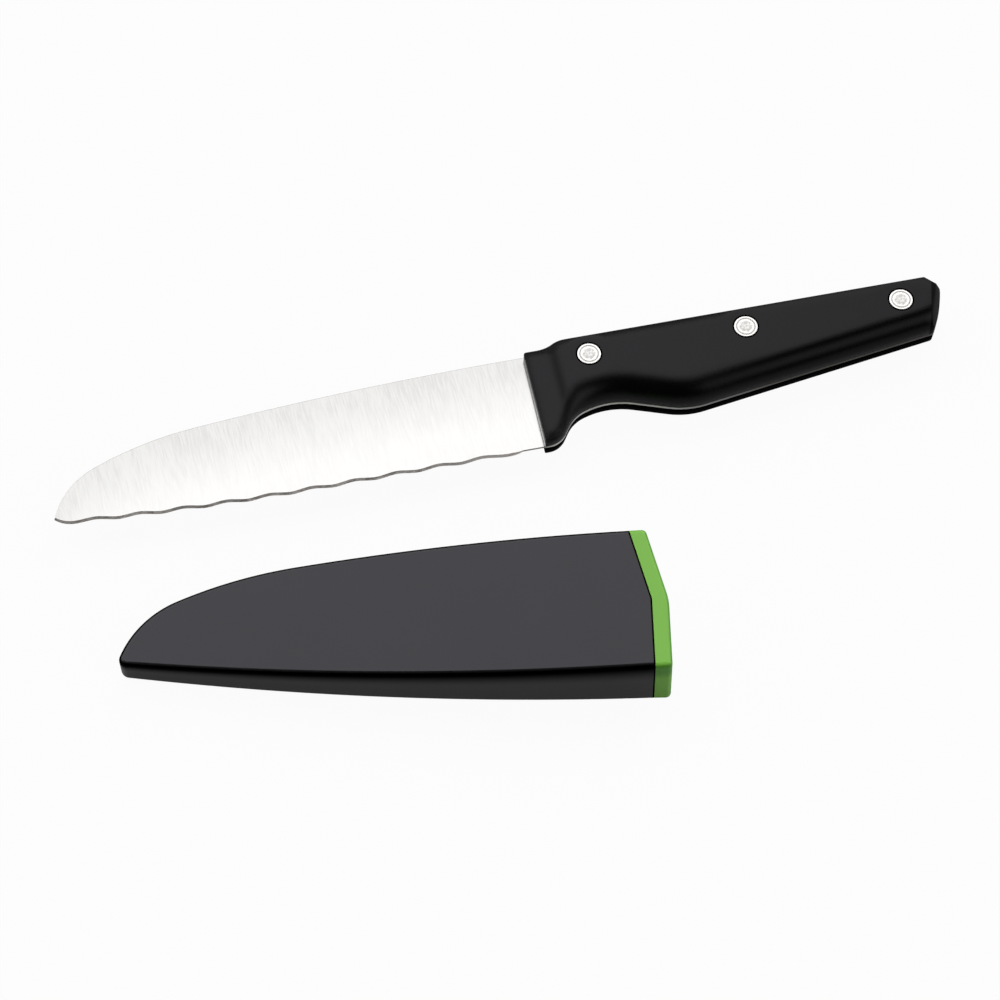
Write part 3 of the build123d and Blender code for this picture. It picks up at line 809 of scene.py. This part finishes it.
@dataclass
class KnifeBlade:
    """The ground blade with its bevelled wavy edge, and the full tang between the scales.

    bevel_limit and round_limit are shares of the plate's depth, which bound the bevel and the rounds where it
    is narrow. shoulder is the share of the spine's round that is left beside its corner point. tolerance
    keeps the points on the parting line in both outlines.
    """

    spine_round: float = 0.1 * MM
    edge_thickness: float = 0.55 * MM
    bevel_height: float = 0.85 * MM
    plain_bevel: float = 0.3 * MM
    plain_length: float = 6.9 * MM
    bevel_flat: float = 0.05 * MM
    tang_round: float = 0.65 * MM
    bevel_limit: float = 0.6
    round_limit: float = 0.2
    shoulder: float = 0.3
    honed_share: float = 0.95
    tolerance: float = 1e-7
    sharp: float = math.radians(12)
    stations: int = 900
    face_points: int = 10
    edge_points: int = 9
    finish: GroundSteel = field(default_factory=lambda: GroundSteel("ground_steel"))

    def outline(self) -> tuple[np.ndarray, np.ndarray]:
        """Upper and lower outline of the plate, read from the frame's own plate.

        The line from the tip to the butt's corner parts the upper chain of points from the lower one.
        Each chain is sorted along X.

        Returns:
            Two arrays of points (x, y), from the tip to the butt.
        """
        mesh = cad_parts["blade"].data
        points = np.empty(len(mesh.vertices) * 3)
        mesh.vertices.foreach_get("co", points)
        points = points.reshape(-1, 3)[:, :2]
        for place in ("front", "middle", "rear"):
            low, high = (np.array(corner[:2]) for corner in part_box("rivet_sleeve_" + place))
            points = points[np.linalg.norm(points - (low + high) / 2, axis=1) > (high - low)[0] / 2]
        tip, butt = points[points[:, 0].argmin()], points[points[:, 0].argmax()]
        level = np.interp(points[:, 0], [tip[0], butt[0]], [tip[1], butt[1]])
        chains = []
        for side in (points[:, 1] >= level - self.tolerance, points[:, 1] <= level + self.tolerance):
            chain = points[side]
            chains.append(chain[np.argsort(chain[:, 0], kind="stable")])
        return chains[0], chains[1]

    def bevel_at(self, ahead: np.ndarray) -> np.ndarray:
        """Bevel's height: plain_bevel for plain_length, then rising to bevel_height over half as much."""
        grown = np.clip((ahead - self.plain_length) / (self.plain_length / 2), 0, 1)
        return self.plain_bevel + (self.bevel_height - self.plain_bevel) * grown

    def columns(self) -> tuple[np.ndarray, np.ndarray, np.ndarray, np.ndarray]:
        """Stations from the tip to the handle's front and on to the butt, with the plate's top and bottom.

        Each stretch has x = start + (end - start) (1 - cos u) / 2 for u from 0 to pi, so that its stations
        crowd at both ends.

        Returns:
            Four columns of one value a station: x, top, bottom, and 1 on the ground blade or 0 on the tang.
        """
        low, high = (np.array(corner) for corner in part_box("blade"))
        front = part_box("handle_scale_upper")[0][0]
        share = 0.5 - 0.5 * np.cos(np.linspace(0, np.pi, self.stations))
        x = np.concatenate([low[0] + (front - low[0]) * share, front + (high[0] - front) * share])
        ground = np.concatenate([np.ones(self.stations), np.zeros(self.stations)])
        upper, lower = self.outline()
        top = np.interp(x, upper[:, 0], upper[:, 1])
        bottom = np.minimum(np.interp(x, lower[:, 0], lower[:, 1]), top)
        return x[:, None], top[:, None], bottom[:, None], ground[:, None]

    def skin(self) -> np.ndarray:
        """Rings round the plate at stations along X.

        At each station the ring runs down one face and up the other. The half thickness falls in a straight
        line from the spine to the edge (flat grind), and over the bevel it falls to bevel_flat / 2. At the
        spine the corner is cut over the last spine_round in two steps, from the half thickness of the face
        there. Behind the handle's front the half thickness is that of the tang all over, and its lower edges
        are quarter circles: y = bottom + r (1 - sin a), t = half - r (1 - cos a).

        Returns:
            Array of stations by ring points by 3.
        """
        low, high = (np.array(corner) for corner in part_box("blade"))
        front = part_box("handle_scale_upper")[0][0]
        middle, half = (low[2] + high[2]) / 2, (high[2] - low[2]) / 2
        x, top, bottom, ground = self.columns()
        depth = top - bottom
        slope = (half - self.edge_thickness / 2) / (high[1] - low[1])
        bevel = np.minimum(self.bevel_at(front - x), depth * self.bevel_limit) * ground
        soft = np.minimum(self.spine_round, depth * self.round_limit)
        turned = np.minimum(self.tang_round, depth * self.round_limit) * (1 - ground)
        start, end = top - soft, bottom + bevel + turned
        face_y = start + (end - start) * np.linspace(0, 1, self.face_points)
        face_t = half - slope * (high[1] - face_y) * ground
        spine_y = top - soft * np.array([0.0, self.shoulder])
        spine_t = face_t[:, :1] - soft * np.array([1.0, self.shoulder])
        along = np.linspace(0, 1, self.edge_points + 1)[1:]
        angle = np.linspace(0, np.pi / 2, self.edge_points + 1)[1:]
        edge_y = bottom + bevel * (1 - along) + turned * (1 - np.sin(angle))
        honed_t = face_t[:, -1:] + (self.bevel_flat / 2 - face_t[:, -1:]) * along
        edge_t = honed_t * ground + (half - turned * (1 - np.cos(angle))) * (1 - ground)
        y = np.concatenate([spine_y, face_y, edge_y], axis=1)
        t = np.concatenate([spine_t, face_t, edge_t], axis=1)
        ring_y = np.concatenate([y, y[:, ::-1]], axis=1)
        ring_z = middle + np.concatenate([t, -t[:, ::-1]], axis=1)
        return np.stack([np.broadcast_to(x, ring_y.shape), ring_y, ring_z], axis=-1)

    def measure(self, mesh: bpy.types.Mesh) -> None:
        """Stores each point's distance below the spine, its place on the bevel and its place along the tang.

        The first is interp(x, upper outline) - y. The second is 1 below honed_share of the bevel's height
        ahead of the handle, and 0 elsewhere. The third rises from 0 at the handle's front to 1 at the butt.

        Args:
            mesh: Mesh of the blade.
        """
        points = np.empty(len(mesh.vertices) * 3)
        mesh.vertices.foreach_get("co", points)
        x, y, _ = points.reshape(-1, 3).T
        upper, lower = self.outline()
        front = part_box("handle_scale_upper")[0][0]
        below = np.interp(x, upper[:, 0], upper[:, 1]) - y
        above = y - np.interp(x, lower[:, 0], lower[:, 1])
        honed = (above < self.honed_share * self.bevel_at(front - x)) & (x < front)
        tang = np.clip((x - front) / (x.max() - front), 0, 1)
        for name, values in (("from_spine", below), ("bevel", honed.astype(float)), ("tang", tang)):
            mesh.attributes.new(name, "FLOAT", "POINT").data.foreach_set("value", values)

    def build(self) -> None:
        """Puts the blade into the scene in place of the frame's plate."""
        piece = mesh_of_grid("ground_blade", self.skin(), self.sharp)
        self.measure(piece.data)
        piece.data.materials.append(self.finish.material())
        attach(piece, Body.KNIFE.value)
        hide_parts("blade")
        log.info("ground_blade: %d faces", len(piece.data.polygons))


@dataclass
class Handle:
    """Two moulded scales held by three cutler's rivets.

    painted_shades holds each scale with its share of painted shade (matt black) at the front and at the rear.
    """

    places: tuple[str, ...] = ("front", "middle", "rear")
    # painted shade: darker towards the rear, and the lower scale, in the shade underneath, nearly all black
    painted_shades: tuple[tuple[str, float, float], ...] = (("upper", 0.0, 0.16), ("lower", 0.85, 0.9))
    colour: Colour = (0.0016, 0.0016, 0.0017)
    worn: Colour = (0.0035, 0.0034, 0.0034)
    gloss_tint: Colour = (0.96, 0.95, 1.0)

    def rivet(self, place: str) -> tuple[Vector, float]:
        """Centre of the rivet at one place, and the radius of its head, in metres."""
        low, high = (Vector(corner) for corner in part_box("rivet_sleeve_" + place))
        return (low + high) / 2, (high - low).x / 2

    def build(self) -> None:
        """Dresses the scales, and each rivet with rings about its own axis."""
        low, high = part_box("handle_scale_upper")
        rivets = tuple(tuple(self.rivet(place)[0]) for place in self.places)
        for side, painted_shade_front, painted_shade_rear in self.painted_shades:
            dress("handle_scale_" + side, RivetedPlastic(
                "handle_plastic_" + side, colour=self.colour, worn=self.worn, roughness=0.26, spread=0.06,
                specular=0.215, gloss_tint=self.gloss_tint, stipple=0.02 * MM, stipple_scale=2600.0,
                edge=0.8 * MM, rivets=rivets, front=low[0], rear=high[0], spine=high[1],
                painted_shade_front=painted_shade_front, painted_shade_rear=painted_shade_rear,
            ))
        for place in self.places:
            centre, radius = self.rivet(place)
            finish = TurnedSteel("rivet_steel_" + place, centre=tuple(centre), radius=radius)
            dress("rivet_sleeve_" + place, finish)
            dress("rivet_pin_" + place, finish)


@dataclass
class Scabbard:
    """Wedge-shaped shell with a green cap pressed into its mouth."""

    shell: ShellPlastic = field(default_factory=lambda: ShellPlastic(
        "scabbard_plastic", colour=(0.0045, 0.0043, 0.0045), worn=(0.007, 0.0068, 0.007), roughness=0.30,
        spread=0.06, specular=0.52, gloss_tint=(0.925, 0.90, 1.0), stipple=0.007 * MM, stipple_scale=2200.0,
        edge=0.0,
    ))
    cap: CapPlastic = field(default_factory=lambda: CapPlastic(
        "cap_plastic", colour=(0.268, 0.672, 0.084), worn=(0.27, 0.66, 0.09), roughness=0.42, spread=0.05,
        specular=0.4, stipple=0.004 * MM, stipple_scale=2600.0, edge=0.2 * MM, dust=0.1,
    ))

    def build(self) -> None:
        """Dresses the shell and the cap."""
        dress("scabbard_shell", self.shell)
        dress("mouth_cap", self.cap)


@dataclass
class Sharpener:
    """Sprung arm behind the mouth with two crossing ceramic bars."""

    arm: MouldedPlastic = field(default_factory=lambda: MouldedPlastic(
        "arm_plastic", colour=(0.03, 0.03, 0.032), worn=(0.05, 0.05, 0.052), edge=0.15 * MM,
    ))
    bars: FiredCeramic = field(default_factory=lambda: FiredCeramic("sharpening_ceramic"))
    pin: DrawnSteel = field(default_factory=lambda: DrawnSteel("pin_steel"))
    spring: DrawnSteel = field(default_factory=lambda: DrawnSteel("spring_steel", colour=(0.42, 0.42, 0.43)))

    def build(self) -> None:
        """Dresses the arm, its bars, its pin and its spring."""
        dress("sharpener_arm", self.arm)
        for node in ("sharpening_bar_left", "sharpening_bar_right"):
            dress(node, self.bars)
        dress("arm_pivot_pin", self.pin)
        dress("arm_spring", self.spring)


@dataclass
class Studio:
    """Table, soft light and camera.

    back points from the target to the camera. lens and sensor are in millimetres and roll is in degrees. The
    spans of the lights are where their edges start and end, on the unit vector that points at the sky.
    """

    target: Point = (-7.53 * MM, 16.50 * MM, 0.0)
    back: Point = (-0.1222, -0.4613, 0.8788)
    distance: float = 1100.39 * MM
    lens: float = 130.0
    sensor: float = 36.0
    clip: Span = (0.05, 50.0)
    roll: float = 3.0
    overhead_light: float = 0.02
    rear_light: float = 1.80
    side_light: float = 1.6
    front_light: float = 1.2
    rear_depth: Span = (0.20, 0.36)
    rear_height: Span = (0.28, 0.50)
    side_reach: Span = (0.80, 0.93)
    front_reach: Span = (0.22, 0.42)
    front_middle: float = -0.52
    front_width: Span = (0.32, 0.14)
    front_height: Span = (0.0, 0.20)
    floor_reach: float = 6.0
    floor_level: float = -0.15 * MM
    floor_colour: float = 0.90
    floor_bounce: float = 0.42
    floor_glow: float = 0.95
    mirrored_glow: float = 0.18

    def camera(self) -> None:
        """Camera at distance along back from the target, rolled about its own axis."""
        data = bpy.data.cameras.new("camera")
        data.lens, data.sensor_width = self.lens, self.sensor
        data.clip_start, data.clip_end = self.clip
        back = Vector(self.back).normalized()
        level = Vector((-back.y, back.x, 0.0)).normalized()
        upright = back.cross(level)
        turn = math.radians(self.roll)
        right = level * math.cos(turn) + upright * math.sin(turn)
        up = upright * math.cos(turn) - level * math.sin(turn)
        axes = Matrix((right, up, back)).transposed().to_4x4()
        camera = bpy.data.objects.new("camera", data)
        camera.matrix_world = Matrix.Translation(Vector(self.target) + back * self.distance) @ axes
        bpy.context.scene.collection.objects.link(camera)
        bpy.context.scene.camera = camera

    def world(self) -> None:
        """Sky with a large softbox high behind the object, one on each side, and one in front to the right.

        All the rest above the object is dark, so that turned-down edges read black. The sky is white where
        the camera sees it.
        """
        world = bpy.data.worlds.new("studio")
        world.use_nodes = True
        bpy.context.scene.world = world
        shader = Shader(world.node_tree, Tree.WORLD)
        heading = shader.node("ShaderNodeTexCoord", output="Generated")
        x, y, z = (shader.axis(heading, name) for name in "XYZ")
        rear = y.step(*self.rear_depth) * z.step(*self.rear_height)
        sides = abs(x).step(*self.side_reach) * (1 - rear)
        front = x.step(*self.front_reach) * abs(y - self.front_middle).step(*self.front_width)
        front = front * z.step(*self.front_height) * (1 - sides)
        light = rear * self.rear_light + sides * self.side_light + front * self.front_light
        light = light + self.overhead_light
        seen = shader.node("ShaderNodeLightPath", output="Is Camera Ray")
        strength = light * (1 - seen) + seen
        shader.out(shader.node("ShaderNodeBackground", values={"Color": (1, 1, 1, 1), "Strength": strength}))

    def floor(self) -> None:
        """White table top: part of what is seen glows, and the rest keeps the soft shadow."""
        corners = np.array([[-1, -1, 0], [1, -1, 0], [1, 1, 0], [-1, 1, 0]]) * self.floor_reach
        corners[:, 2] = self.floor_level
        mesh = bpy.data.meshes.new("table_top")
        mesh.from_pydata(corners.tolist(), [], [(0, 1, 2, 3)])
        floor = bpy.data.objects.new("table_top", mesh)
        bpy.context.scene.collection.objects.link(floor)
        material = bpy.data.materials.new("table_white")
        material.use_nodes = True
        shader = Shader(material.node_tree)
        camera, glossy, transmission = (
            shader.node("ShaderNodeLightPath", output=f"Is {name} Ray")
            for name in ("Camera", "Glossy", "Transmission")
        )
        glow = camera * self.floor_glow + glossy.largest(transmission) * self.mirrored_glow
        colour = camera * (self.floor_colour - self.floor_bounce) + self.floor_bounce
        paint = shader.node("ShaderNodeCombineColor", values={0: colour, 1: colour, 2: colour})
        plain = shader.node("ShaderNodeBsdfDiffuse", values={"Color": paint})
        white = shader.node("ShaderNodeEmission", values={"Color": (1, 1, 1, 1), "Strength": 1.0})
        shader.out(shader.node("ShaderNodeMixShader", values={0: glow, 1: plain, 2: white}))
        mesh.materials.append(material)

    def build(self) -> None:
        """Sets the view transform and puts everything in place."""
        bpy.context.scene.view_settings.view_transform = "Standard"
        self.camera()
        self.world()
        self.floor()


def main() -> None:
    """Builds the pieces in order."""
    logging.basicConfig(level=logging.INFO, format="%(name)s: %(message)s")
    for group in (Studio(), KnifeBlade(), Handle(), Scabbard(), Sharpener()):
        log.info("building %s", type(group).__name__)
        group.build()


if __name__ == "__main__":
    main()
